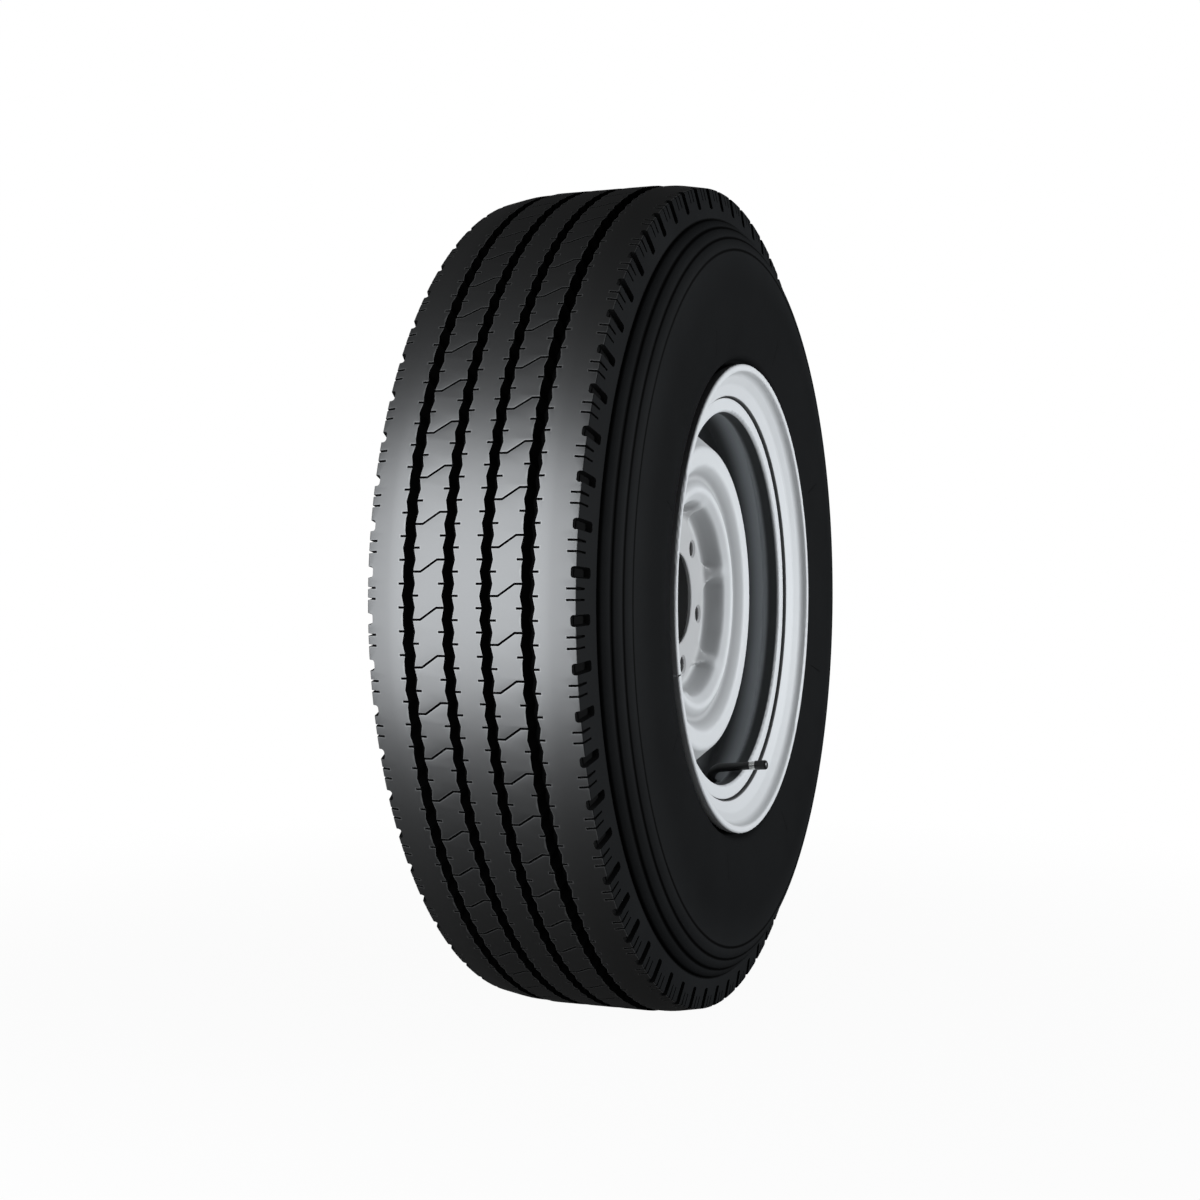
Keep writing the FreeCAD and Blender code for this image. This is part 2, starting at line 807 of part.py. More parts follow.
makers = {
    "tyre": make_tyre,
    "inner_tube": make_inner_tube,
    "rim_flap": make_rim_flap,
    "rim_base": make_rim_base,
    "side_ring": make_side_ring,
    "wheel_disc": make_wheel_disc,
    "valve_stem": make_valve_stem,
    "valve_tip": make_valve_tip,
    "valve_core_body": make_valve_core_body,
    "valve_core_gasket": make_valve_core_gasket,
    "valve_core_pin": make_valve_core_pin,
    "valve_core_cup": make_valve_core_cup,
    "valve_core_spring": make_valve_core_spring,
    "valve_cap": make_valve_cap,
    "valve_cap_seal": make_valve_cap_seal,
}

os.makedirs("parts", exist_ok=True)
for node, make in makers.items():
    write(node, make())
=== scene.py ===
import math

import bmesh
import bpy
from mathutils import Matrix, Vector
from mathutils.geometry import delaunay_2d_cdt


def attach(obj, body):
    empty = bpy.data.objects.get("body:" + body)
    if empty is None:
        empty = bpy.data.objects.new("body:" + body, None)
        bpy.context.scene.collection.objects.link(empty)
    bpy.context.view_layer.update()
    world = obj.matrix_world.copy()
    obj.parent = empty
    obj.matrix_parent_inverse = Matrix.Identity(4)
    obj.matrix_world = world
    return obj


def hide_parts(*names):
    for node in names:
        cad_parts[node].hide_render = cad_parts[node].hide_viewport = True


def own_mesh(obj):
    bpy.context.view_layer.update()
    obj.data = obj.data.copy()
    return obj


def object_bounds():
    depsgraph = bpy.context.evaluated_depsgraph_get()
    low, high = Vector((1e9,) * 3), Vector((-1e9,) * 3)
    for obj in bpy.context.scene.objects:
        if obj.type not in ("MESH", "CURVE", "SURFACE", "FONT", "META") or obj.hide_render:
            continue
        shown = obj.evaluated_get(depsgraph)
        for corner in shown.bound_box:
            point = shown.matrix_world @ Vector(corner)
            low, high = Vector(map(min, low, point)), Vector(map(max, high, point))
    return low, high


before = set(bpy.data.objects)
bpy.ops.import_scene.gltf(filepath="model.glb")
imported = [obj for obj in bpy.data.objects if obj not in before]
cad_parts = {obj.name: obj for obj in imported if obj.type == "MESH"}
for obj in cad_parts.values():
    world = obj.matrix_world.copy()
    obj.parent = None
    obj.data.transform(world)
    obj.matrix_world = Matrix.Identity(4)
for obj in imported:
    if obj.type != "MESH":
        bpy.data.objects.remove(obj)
cad_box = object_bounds()

# A light-truck tyre on its two-piece steel wheel.
# Sizes are in millimetres and angles in degrees. The wheel spins about Y and its outer face looks to -Y.
METRE = 0.001

# Tyre outside
crown_radius = 402.5
outer_rib_radius = 401.4
outer_rib_flat = 66.0
shoulder_radius = 397.0
half_tread = 91.0
wall_foot_radius = 369.5
wall_foot_along = 96.0
step_width = 2.0
ridge_count = 3
ridge_drop = 29.5
ridge_flare = 19.6
ridge_fullness = 3.2
ridge_bulge = 1.3
widest_radius = 308.0
half_section = 119.6
lower_wall_radius = 262.0
lower_wall_along = 116.8

# Tyre beads and casing
flange_radius = 229.8
bead_face = 94.85
bead_seat_radius = 202.8
bead_toe = 71.85
casing_radius = 372.5

# Tread pattern
pitch_count = 66
notch_place = 177.11
groove_depth = 12.0
groove_floor = 5.0
outer_groove = 51.75
outer_groove_width = 10.5
inner_groove = 16.5
inner_groove_width = 9.3
zigzag = 1.05
edge_width = 0.7
edge_drop = 0.08
sipe_width = 1.9
sipe_floor_share = 0.3
sipe_depth = 7.0
sipe_overlap = 2.0
sipe_run = 6.6
tick_length = 4.2
tick_depth_share = 0.6
tread_marks = ("rib_top", "rib_edge", "groove")

# Shoulder notches and sipes
notch_half_height = 4.7
notch_reach = 4.6
notch_run = 20.0
notch_corner = 2.6
notch_depth = 4.5
notch_wall = 1.5
shoulder_sipe_places = (0.337, 0.571)
shoulder_sipe_reach = 7.0
shoulder_sipe_run = 11.0
shoulder_sipe_depth = 3.0
shoulder_turn = 4.0
shoulder_round = 1.6
outer_rib_round = 60.0
# The strip along the shoulder edge that is painted lighter as a highlight, like the rib edges, is this
# wide.
shoulder_highlight_width = 1.4

# Wheel disc: the points of its outer face are (radius, along, round)
hub_bore_radius = 46.5
hub_face = -38.0
hub_flat_radius = 85.0
hub_flat_round = 7.0
disc_slope = (95.5, -56.0, 9.0)
disc_crest = (107.5, -64.5, 7.0)
disc_valley = (121.0, -57.0, 5.0)
disc_band = (132.5, -69.3, 6.5)
disc_edge = (150.0, -70.0, 7.0)
skirt_radius = 178.3
skirt_top = -36.0
skirt_round = 10.0
skirt_end = -10.0
disc_thickness = 6.0
bore_round = 0.8
stud_count = 6
stud_angle = -13.3
stud_circle_radius = 69.85
stud_hole_radius = 7.75
stud_seat_radius = 9.7
pocket_lip_radius = 80.5
pocket_lip_round = 0.4
pocket_lip_run = 2.5
pocket_foot_round = 1.5
pocket_floor = -36.0
pocket_floor_radius = 91.0
pocket_floor_round = 4.0
pocket_wall = (97.5, -56.5, 5.0)
pocket_half_angles = (16.0, 25.5)
pocket_fade = 5.0

# The valve core's spring: its low end, its direction outwards and its wire
spring_base = (47.644, -103.967, -169.500)
spring_axis = (-0.028285, -0.994522, 0.100629)
spring_height = 5.56
spring_coil_radius = 1.02
spring_wire_radius = 0.18
spring_turns = 5

# How finely the meshes are cut: the turn steps are in radians for each part of a round
seam_share = 0.19
stations_per_pitch = 3
groove_half_waves = range(-1, 11)
sharpest_mitre = 0.5
ridge_parts = 5
wall_parts = 8
tread_turn_step = 0.25
notch_turn_step = 0.5
wall_turn_step = 0.25
hidden_turn_step = 0.8
disc_turn_step = 0.15
disc_columns = 30
disc_row_height = 1.25
hub_seam_radii = (58.0, 70.0)
stud_sides = 28
spring_steps = 20
spring_sides = 8
weld_distance = 0.02
level_margin = 0.001
edge_margin = 0.2
row_margin = 0.5
hole_margin_share = 0.97
plan_margin = 1e-4
tyre_crisp_angle = 14
disc_crisp_angle = 35
spring_crisp_angle = 50

# Camera, fitted to the photograph's flange, grooves, opening and outline
camera_distance = 1706.085
camera_azimuth = -70.023
camera_elevation = 0.025
camera_roll = 0.312
focal_pixels = 1688.632
picture_pixels = 1200
centre_shift_pixels = (41.408, -1.892)

# Floor and light, in metres
ray_kinds = ("Is Camera Ray", "Is Glossy Ray", "Is Transmission Ray")
surround_level = 0.025
reflected_floor = 0.035
floor_half = 30.0
floor_grey = 0.4
floor_fade = (0.45, 1.6)
floor_near_share = 0.955
lamp_colour = (0.93, 0.965, 1.0)

# Tints of the rubber, the silver enamel and the painted shade in the barrel
cool_rubber = (0.96, 1.0, 1.04)
cool_silver = (0.985, 1.0, 1.01)
cool_barrel_shade = (0.95, 1.0, 1.04)

pitch_turn = 2 * math.pi / pitch_count
pitch_length = pitch_turn * crown_radius
zigzag_length = pitch_length / 2
half_wave = zigzag_length / 2


# Node trees


class Link:
    """A node's output that takes part in sums, so that a mask reads as a formula."""

    def __init__(self, tree, socket):
        self.tree = tree
        self.socket = socket

    def __add__(self, other):
        return self.tree.maths("ADD", self, other)

    def __radd__(self, other):
        return self.tree.maths("ADD", other, self)

    def __sub__(self, other):
        return self.tree.maths("SUBTRACT", self, other)

    def __rsub__(self, other):
        return self.tree.maths("SUBTRACT", other, self)

    def __mul__(self, other):
        return self.tree.maths("MULTIPLY", self, other)

    def __rmul__(self, other):
        return self.tree.maths("MULTIPLY", other, self)

    def __truediv__(self, other):
        return self.tree.maths("DIVIDE", self, other)

    def __rtruediv__(self, other):
        return self.tree.maths("DIVIDE", other, self)


class Tree:
    """A node tree and the ways to fill it."""

    def __init__(self, tree):
        self.tree = tree

    def node(self, kind, settings=None, inputs=None, output=0):
        node = self.tree.nodes.new(kind)
        for name, value in (settings or {}).items():
            setattr(node, name, value)
        for name, value in (inputs or {}).items():
            self.feed(node.inputs[name], value)
        return Link(self, node.outputs[output])

    def outputs(self, kind, names):
        """Several outputs of one new node, by name."""
        node = self.tree.nodes.new(kind)
        return {name: Link(self, node.outputs[name]) for name in names}

    def feed(self, socket, value):
        if isinstance(value, Link):
            self.tree.links.new(value.socket, socket)
        else:
            socket.default_value = value

    def maths(self, operation, *values):
        return self.node("ShaderNodeMath", {"operation": operation}, dict(enumerate(values)))


class Finish(Tree):
    """A material with one surface shader. Its places are in metres."""

    def __init__(self, name, **constants):
        self.material = bpy.data.materials.new(name)
        self.material.use_nodes = True
        super().__init__(self.material.node_tree)
        self.surface = self.tree.nodes["Principled BSDF"]
        for socket, value in constants.items():
            self.surface.inputs[socket.replace("_", " ")].default_value = value

    def set(self, socket, value):
        self.feed(self.surface.inputs[socket], value)

    def place(self):
        return self.node("ShaderNodeTexCoord", output="Object")

    def parts(self):
        """The place's X, Y and Z."""
        names = ("X", "Y", "Z")
        split = self.node("ShaderNodeSeparateXYZ", inputs={0: self.place()})
        return [Link(self, split.socket.node.outputs[name]) for name in names]

    def noise(self, scale, detail, roughness):
        sizes = {"Vector": self.place(), "Scale": scale, "Detail": detail, "Roughness": roughness}
        return self.node("ShaderNodeTexNoise", inputs=sizes)

    def attribute(self, name):
        return self.node("ShaderNodeAttribute", {"attribute_name": name}, output="Fac")

    def between(self, value, low, high, start=0.0, end=1.0):
        """A smooth ramp from start to end as a value goes from low to high."""
        ends = {"Value": value, "From Min": low, "From Max": high, "To Min": start, "To Max": end}
        return self.node("ShaderNodeMapRange", {"interpolation_type": "SMOOTHSTEP"}, ends)

    def band(self, value, rise, fall):
        """A mask that comes up over one pair of values and goes down over another."""
        return self.between(value, *rise) * (1 - self.between(value, *fall))

    def mix(self, share, first, second):
        """A mix of two colours: the node's colour sockets come after those for numbers and vectors."""
        colours = {0: share, 6: first, 7: second}
        return self.node("ShaderNodeMix", {"data_type": "RGBA"}, colours, output=2)

    def bump(self, height, distance, strength):
        sizes = {"Height": height, "Distance": distance, "Strength": strength}
        self.set("Normal", self.node("ShaderNodeBump", inputs=sizes))


def grey(level, tint=(1.0, 1.0, 1.0)):
    return tuple(level * part for part in tint) + (1.0,)


# Shared making


def rounded(points, step, closed=False):
    """Places along an outline of (radius, along, round) points, with its corners rounded."""
    places = []
    count = len(points)
    for index, (radius, along, size) in enumerate(points):
        here = Vector((radius, along))
        if not size or (not closed and index in (0, count - 1)):
            places.append(here)
            continue
        back = (Vector(points[index - 1][:2]) - here).normalized()
        ahead = (Vector(points[(index + 1) % count][:2]) - here).normalized()
        half = back.angle(ahead) / 2
        centre = here + (back + ahead).normalized() * (size / math.sin(half))
        start = here + back * (size / math.tan(half)) - centre
        end = here + ahead * (size / math.tan(half)) - centre
        parts = max(2, math.ceil((math.pi - 2 * half) / step))
        for part in range(parts + 1):
            places.append(centre + start.lerp(end, part / parts).normalized() * size)
    return places


def bowed(start, end, bulge, parts):
    """Places along a shallow bow from start to end, bulging to the side of growing section width."""
    along = end - start
    out = Vector((-along.y, along.x)).normalized()
    if out.y < 0:
        out = -out
    shares = [part / parts for part in range(parts + 1)]
    return [start.lerp(end, share) + out * bulge * 4 * share * (1 - share) for share in shares]


def lengths(places):
    """The distance run along a line of places, at each of them."""
    run = [0.0]
    for before, after in zip(places, places[1:]):
        run.append(run[-1] + (after - before).length)
    return run


def on_circle(radius, along, angle):
    """The place in the frame at a radius, an axial place and an angle from +X towards +Z."""
    return Vector((radius * math.cos(angle), along, radius * math.sin(angle))) * METRE


def new_object(name, mesh):
    piece = bpy.data.objects.new(name, mesh)
    bpy.context.scene.collection.objects.link(piece)
    return piece


def plain_mesh(piece, name):
    """The piece as its modifiers leave it, as an object of its own."""
    bpy.context.view_layer.update()
    evaluated = piece.evaluated_get(bpy.context.evaluated_depsgraph_get())
    mesh = bpy.data.meshes.new_from_object(evaluated)
    mesh.name = name
    bpy.data.objects.remove(piece)
    return new_object(name, mesh)


def mesh_of(shape, name):
    """The finished shape as a mesh."""
    mesh = bpy.data.meshes.new(name)
    shape.to_mesh(mesh)
    shape.free()
    return mesh


def face_outwards(mesh):
    """Turns all faces of a closed mesh outwards."""
    shape = bmesh.new()
    shape.from_mesh(mesh)
    bmesh.ops.recalc_face_normals(shape, faces=shape.faces)
    shape.to_mesh(mesh)
    shape.free()


def smooth(mesh, crisp_angle):
    """Shades a mesh smooth, and keeps the edges sharper than an angle crisp."""
    mesh.shade_smooth()
    mesh.set_sharp_from_angle(angle=math.radians(crisp_angle))


def repeat_tree():
    """A tree that repeats one sector round the axle and welds its seams."""
    group = bpy.data.node_groups.new("repeat_round_axle", "GeometryNodeTree")
    sockets = {
        "Sector": "NodeSocketGeometry",
        "Count": "NodeSocketInt",
        "Weld": "NodeSocketFloat",
        "Finish": "NodeSocketMaterial",
    }
    for name, kind in sockets.items():
        group.interface.new_socket(name, in_out="INPUT", socket_type=kind)
    group.interface.new_socket("Ring", in_out="OUTPUT", socket_type="NodeSocketGeometry")
    tree = Tree(group)
    given = tree.outputs("NodeGroupInput", sockets)
    places = tree.node("GeometryNodePoints", inputs={"Count": given["Count"]})
    angle = tree.node("GeometryNodeInputIndex") * (2 * math.pi) / given["Count"]
    turn = tree.node("ShaderNodeCombineXYZ", inputs={"Y": angle})
    turn = tree.node("FunctionNodeEulerToRotation", inputs={0: turn})
    links = {"Points": places, "Instance": given["Sector"], "Rotation": turn}
    ring = tree.node("GeometryNodeInstanceOnPoints", inputs=links)
    ring = tree.node("GeometryNodeRealizeInstances", inputs={"Geometry": ring})
    ring = tree.node("GeometryNodeMergeByDistance", inputs={"Geometry": ring, "Distance": given["Weld"]})
    ring = tree.node("GeometryNodeSetMaterial", inputs={"Geometry": ring, "Material": given["Finish"]})
    leave = group.nodes.new("NodeGroupOutput")
    tree.feed(leave.inputs["Ring"], ring)
    return group


repeat_round_axle = repeat_tree()


def repeated(sector, name, count, finish):
    """A whole ring made of one sector's mesh."""
    piece = new_object(name + "_sector", sector)
    modifier = piece.modifiers.new("repeat", "NODES")
    modifier.node_group = repeat_round_axle
    values = {"Count": count, "Weld": weld_distance * METRE, "Finish": finish.material}
    for socket in repeat_round_axle.interface.items_tree:
        if socket.name in values:
            modifier[socket.identifier] = values[socket.name]
    return plain_mesh(piece, name)


def settle(piece, slot, *nodes):
    """Hands a finished piece of the wheel to the frame, in place of its nodes."""
    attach(piece, "wheel")
    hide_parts(*nodes)


# Finishes


def tyre_finish():
    """Black moulded rubber: ground rib tops, edges painted lighter as a highlight, dark grooves, painted
    shade in the sidewall's creases, and fine mould lines.
    """
    finish = Finish("tyre_rubber", Specular_IOR_Level=0.015, Coat_Roughness=0.46, Coat_IOR=2.3)
    x, _, z = finish.parts()
    radius = finish.maths("SQRT", x * x + z * z)
    top, edge, groove = [finish.attribute(name) for name in tread_marks]
    bloom = finish.noise(14.0, 5.0, 0.6)
    grain = finish.noise(900.0, 2.0, 0.5)
    wall = finish.mix(bloom, grey(0.0065, cool_rubber), grey(0.011, cool_rubber))
    low = 1 - finish.between(radius, 0.300, 0.345)
    wall = finish.mix(low * 0.4, wall, grey(0.001))
    # Painted shade in the creases between the sidewall's ridges.
    for crease in ridge_creases():
        aside = finish.maths("ABSOLUTE", radius - crease.x * METRE)
        shade = finish.between(aside, 0.0004, 0.0020, 1.0, 0.0)
        wall = finish.mix(shade, wall, grey(0.0006))
    ground = finish.mix(grain, grey(0.002), grey(0.004))
    colour = finish.mix(top, wall, ground)
    # Rib edges and the shoulder strip are painted a lighter grey: a painted highlight.
    colour = finish.mix(edge, colour, grey(0.03))
    colour = finish.mix(groove, colour, grey(0.004))
    angle = finish.maths("ARCTAN2", z, x)
    sector = finish.maths("PINGPONG", angle + 0.3, math.pi / 8)
    line_run = finish.band(radius, (0.250, 0.254), (0.276, 0.280))
    line = (1 - finish.between(sector * radius, 0.0002, 0.0007)) * line_run
    finish.set("Base Color", finish.mix(line, colour, grey(0.0005)))
    finish.set("Roughness", 0.62 + bloom * 0.08 + groove * 0.2)
    finish.set("Coat Weight", top * 0.92 + edge)
    finish.bump(grain * 0.3 + bloom * 0.7 + line * 2.0, 0.00025, 0.35)
    return finish


class Enamel(Finish):
    """Silver enamel on the wheel's steel, with its places and patterns at hand."""

    def __init__(self, name):
        super().__init__(name, Metallic=0.1, Specular_IOR_Level=0.25)
        x, self.along, z = self.parts()
        self.radius = self.maths("SQRT", x * x + z * z)
        self.cloud = self.noise(9.0, 4.0, 0.55)
        self.fleck = self.noise(1400.0, 2.0, 0.5)
        self.silver = self.mix(self.cloud, grey(0.40, cool_silver), grey(0.44, cool_silver))
        self.set("Roughness", 0.60 + self.cloud * 0.08)
        self.bump(self.fleck, 0.00012, 0.15)


def paint_finish():
    """The disc and the side ring: flecked silver, darker over the hub face, with painted shade in the
    valley and on the back.
    """
    finish = Enamel("wheel_paint")
    radius = finish.radius
    silver = finish.mix(finish.fleck * 0.25, finish.silver, grey(0.48))
    # The hub face is painted a darker grey.
    hub_darkening = 1 - finish.between(radius, 0.083, 0.098)
    silver = finish.mix(hub_darkening, silver, grey(0.30))
    # Painted shade in the disc's valley.
    valley_shade = finish.band(radius, (0.109, 0.118), (0.123, 0.132))
    silver = finish.mix(valley_shade * 0.5, silver, grey(0.15))
    # The disc's back is painted near black as painted shade.
    behind = finish.between(finish.along, -0.0335, -0.0315)
    silver = finish.mix(behind, silver, grey(0.02))
    seam = finish.band(radius, (0.196, 0.198), (0.1994, 0.2000))
    finish.set("Base Color", finish.mix(seam, silver, grey(0.08)))
    return finish


def rim_finish():
    """Silver enamel outside, and painted shade inside the barrel between the disc and the opening, crossed
    by a painted highlight and darker still behind the disc.
    """
    finish = Enamel("rim_paint")
    radius = finish.radius
    along = finish.along
    # Painted shade inside the barrel: a dark grey from the opening back past the disc.
    inside = finish.band(along, (-0.0918, -0.0900), (0.098, 0.104))
    inside = inside * (1 - finish.between(radius, 0.1985, 0.2005))
    barrel_shade = finish.mix(finish.cloud, grey(0.032, cool_barrel_shade), grey(0.04, cool_barrel_shade))
    # A lighter band across the barrel: a painted highlight.
    streak_highlight = finish.band(along, (-0.083, -0.075), (-0.072, -0.050))
    barrel_shade = finish.mix(streak_highlight, barrel_shade, grey(0.36, cool_barrel_shade))
    # Darker still behind the disc: painted shade.
    behind = finish.between(along, -0.022, -0.012)
    barrel_shade = finish.mix(behind, barrel_shade, grey(0.015))
    colour = finish.mix(inside, finish.silver, barrel_shade)
    seam = finish.between(radius, 0.1972, 0.1978) * (1 - finish.between(along, -0.088, -0.086))
    finish.set("Base Color", finish.mix(seam, colour, grey(0.01)))
    return finish


def rubber_finish(name, level, roughness):
    """Plain moulded rubber with a soft bloom."""
    finish = Finish(name, Specular_IOR_Level=0.5)
    bloom = finish.noise(60.0, 4.0, 0.6)
    grain = finish.noise(1600.0, 2.0, 0.5)
    finish.set("Base Color", finish.mix(bloom, grey(level * 0.75), grey(level * 1.3)))
    finish.set("Roughness", roughness + bloom * 0.12)
    finish.bump(grain, 0.0001, 0.3)
    return finish


def metal_finish(name, colour, roughness):
    """Turned or plated metal with a faint stain."""
    finish = Finish(name, Metallic=1.0)
    stain = finish.noise(220.0, 3.0, 0.6)
    dull = tuple(part * 0.8 for part in colour[:3]) + (1.0,)
    finish.set("Base Color", finish.mix(stain, dull, colour))
    finish.set("Roughness", roughness + stain * 0.12)
    return finish


# Tyre


def tread_profile():
    """Places from the middle of the tread to the foot of the shoulder wall, on the +Y side."""
    return rounded(
        [
            (crown_radius, 0, 0),
            (crown_radius, outer_groove - outer_groove_width / 2, 0),
            (outer_rib_radius, outer_groove + outer_groove_width / 2, 0),
            (outer_rib_radius, outer_rib_flat, outer_rib_round),
            (shoulder_radius, half_tread, shoulder_round),
            (wall_foot_radius, wall_foot_along, 0),
        ],
        tread_turn_step,
    )


profile_places = tread_profile()
profile_runs = lengths(profile_places)
wall_run = profile_runs[-1]
edge_run = wall_run - math.hypot(shoulder_radius - wall_foot_radius, wall_foot_along - half_tread)


def profile_at(run):
    """Radius and axial place at a distance from the middle of the tread, on either side."""
    side = math.copysign(1.0, run)
    reach = min(abs(run), wall_run)
    index = max(i for i, start in enumerate(profile_runs[:-1]) if start <= reach)
    share = (reach - profile_runs[index]) / (profile_runs[index + 1] - profile_runs[index])
    place = profile_places[index].lerp(profile_places[index + 1], share)
    return place.x, place.y * side


def sunk_at(run, depth):
    """The same place sunk into the rubber: straight in on the tread, sideways in on the shoulder wall."""
    radius, along = profile_at(run)
    turned = (abs(run) - edge_run + shoulder_turn) / (2 * shoulder_turn)
    lean = min(max(turned, 0.0), 1.0) * math.pi / 2
    side = math.copysign(1.0, run)
    return radius - depth * math.cos(lean), along - side * depth * math.sin(lean)


def sway(place):
    """How far the grooves swing to the side at a place along the tread."""
    share = (place / zigzag_length) % 1.0
    return zigzag * (4 * abs(share - 0.5) - 1)


def stepped(distance, steps):
    """A depth that changes in straight steps with distance: (distance, depth) pairs, outwards."""
    if distance <= steps[0][0]:
        return steps[0][1]
    for (near, deep), (far, shallow) in zip(steps, steps[1:]):
        if distance <= far:
            return deep + (shallow - deep) * (distance - near) / (far - near)
    return 0.0


class Groove:
    """A zigzag groove all round the tread."""

    def __init__(self, centre, width):
        self.centre = centre
        half = width / 2
        self.steps = [(groove_floor / 2, groove_depth), (half, edge_drop), (half + edge_width, 0.0)]

    def lines(self):
        places = [index * half_wave for index in groove_half_waves]
        offsets = [side * distance for distance, _ in self.steps for side in (-1, 1)]
        return [[(place, self.centre + offset + sway(place)) for place in places] for offset in offsets]

    def depth(self, place, run):
        return stepped(abs(run - self.centre - sway(place)), self.steps)


class Sipe:
    """A thin slit along a line of (place, run) points."""

    def __init__(self, points, depth=sipe_depth):
        self.points = [Vector(point) for point in points]
        half = sipe_width / 2
        self.steps = [(sipe_floor_share * half, depth), (half, edge_drop), (half + edge_width, 0.0)]

    def beside(self, distance):
        """A closed outline at a distance from the slit's line."""
        left = []
        right = []
        count = len(self.points)
        for index, point in enumerate(self.points):
            before = self.points[max(index - 1, 0)]
            after = self.points[min(index + 1, count - 1)]
            heads = [(b - a).normalized() for a, b in ((before, point), (point, after)) if (b - a).length]
            head = sum(heads, Vector((0.0, 0.0))).normalized()
            mitre = distance / max(head.dot(heads[0]), sharpest_mitre)
            end = head * distance * ((index == count - 1) - (index == 0))
            side = Vector((-head.y, head.x)) * mitre
            left.append(point + side + end)
            right.append(point - side + end)
        outline = left + right[::-1]
        return outline + outline[:1]

    def lines(self):
        return [self.beside(distance) for distance, _ in self.steps]

    def depth(self, place, run):
        here = Vector((place, run))
        stretches = zip(self.points, self.points[1:])
        return stepped(min(self.apart(here, start, end) for start, end in stretches), self.steps)

    def apart(self, here, start, end):
        along = end - start
        share = min(max((here - start).dot(along) / along.length_squared, 0.0), 1.0)
        return (here - start - along * share).length


class Notch:
    """A rounded notch over the shoulder edge."""

    def __init__(self, place, side):
        self.place = place
        self.side = side
        self.middle = edge_run + (notch_run - notch_reach) / 2
        self.half_run = (notch_run + notch_reach) / 2

    def outline(self, inset):
        corner = notch_corner
        high = notch_half_height - inset
        wide = self.half_run - inset
        corners = [
            (-high, -wide, corner),
            (high, -wide, corner),
            (high, wide, corner),
            (-high, wide, corner),
        ]
        places = rounded(corners, notch_turn_step, closed=True)
        return [(self.place + p.x, self.side * (self.middle + p.y)) for p in places]

    def lines(self):
        outlines = [self.outline(0.0), self.outline(notch_wall)]
        return [line + line[:1] for line in outlines]

    def depth(self, place, run):
        corner = notch_corner
        across = abs(place - self.place) - notch_half_height + corner
        down = abs(run * self.side - self.middle) - self.half_run + corner
        outside = math.hypot(max(across, 0.0), max(down, 0.0)) + min(max(across, down), 0.0) - corner
        return notch_depth * min(max(-outside / notch_wall, 0.0), 1.0)


def groove_places():
    """Each groove's distance from the middle of the tread and its width."""
    return [
        (outer_groove, outer_groove_width),
        (inner_groove, inner_groove_width),
        (-inner_groove, inner_groove_width),
        (-outer_groove, outer_groove_width),
    ]


def rib_ticks():
    """The short slits of one pitch: one at every tip of the ribs, on both sides of each groove."""
    ticks = []
    for side, first in ((-1, 0.0), (1, half_wave)):
        for groove, width in groove_places():
            for wave in (0, 1):
                place = first + wave * zigzag_length
                tip = groove + side * width / 2 + sway(place)
                ends = [(place, tip - side * sipe_overlap), (place, tip + side * tick_length)]
                ticks.append(Sipe(ends, sipe_depth * tick_depth_share))
    return ticks


def bent_slit(place, first, last):
    """The bent slit over the rib between an outer and an inner groove, on one side of the tread."""
    rise = place - half_wave
    begin = first + sway(place)
    end = last + sway(rise)
    return Sipe(
        [
            (place, begin + sipe_overlap),
            (place, begin - sipe_run),
            (rise, end + sipe_run),
            (rise, end - sipe_overlap),
        ]
    )


def pitch_features():
    """All that is moulded into one pitch of the tread and its shoulders."""
    outer_inside = outer_groove - outer_groove_width / 2
    inner_outside = inner_groove + inner_groove_width / 2
    features = [Groove(groove, width) for groove, width in groove_places()]
    features += rib_ticks()
    features.append(bent_slit(pitch_length, outer_inside, inner_outside))
    features.append(bent_slit(pitch_length / 2, -inner_outside, -outer_inside))
    for side in (1, -1):
        features.append(Notch(pitch_length, side))
        start = side * (edge_run - shoulder_sipe_reach)
        end = side * (edge_run + shoulder_sipe_run)
        for share in shoulder_sipe_places:
            place = share * pitch_length
            features.append(Sipe([(place, start), (place, end)], shoulder_sipe_depth))
    return features


def pitch_stations():
    """Shares of a pitch where the sidewall's faces meet the tread, from seam to seam."""
    return [seam_share + index / stations_per_pitch for index in range(stations_per_pitch + 1)]


def tread_plan(features):
    """The flat plan of one pitch, cut along every line of its features: places and triangles."""
    stations = [share * pitch_length for share in pitch_stations()]
    first = stations[0]
    last = stations[-1]
    lines = [[(place, run) for place in stations] for run in profile_lines()]
    for seam in (first, last):
        lines.append([(seam, run) for run in profile_lines()])
    for feature in features:
        for line in feature.lines():
            for shift in (-pitch_length, 0, pitch_length):
                lines.append([(place + shift, run) for place, run in line])
    points = []
    edges = []
    for line in lines:
        for start, end in zip(line, line[1:]):
            cut = clipped(Vector(start), Vector(end), first, last)
            if cut:
                edges.append((len(points), len(points) + 1))
                points += cut
    plan = delaunay_2d_cdt(points, edges, [], 0, plan_margin)
    return plan[0], plan[2]


def profile_lines():
    """Distances from the middle of the tread where its outline turns, on both sides."""
    half = [run for run in profile_runs if run > 0]
    return [-run for run in reversed(half)] + [0.0] + half


def clipped(start, end, first, last):
    """The stretch of a line between two places along the tread, or nothing."""
    low, high = sorted((start, end), key=lambda point: point.x)
    if high.x <= first or low.x >= last:
        inside = abs(high.x - low.x) < 1e-6 and first <= low.x <= last
        return (start, end) if inside else None
    span = max(high.x - low.x, 1e-9)
    begin = low.lerp(high, max((first - low.x) / span, 0.0))
    finish = low.lerp(high, min((last - low.x) / span, 1.0))
    return begin, finish


def ridge_creases():
    """Places of the creases between the sidewall's ridges, from the shoulder's foot inwards."""
    ridge_start = Vector((wall_foot_radius - step_width, wall_foot_along))
    ridge_end = ridge_start + Vector((-ridge_drop, ridge_flare))
    return bowed(ridge_start, ridge_end, ridge_fullness, ridge_count)


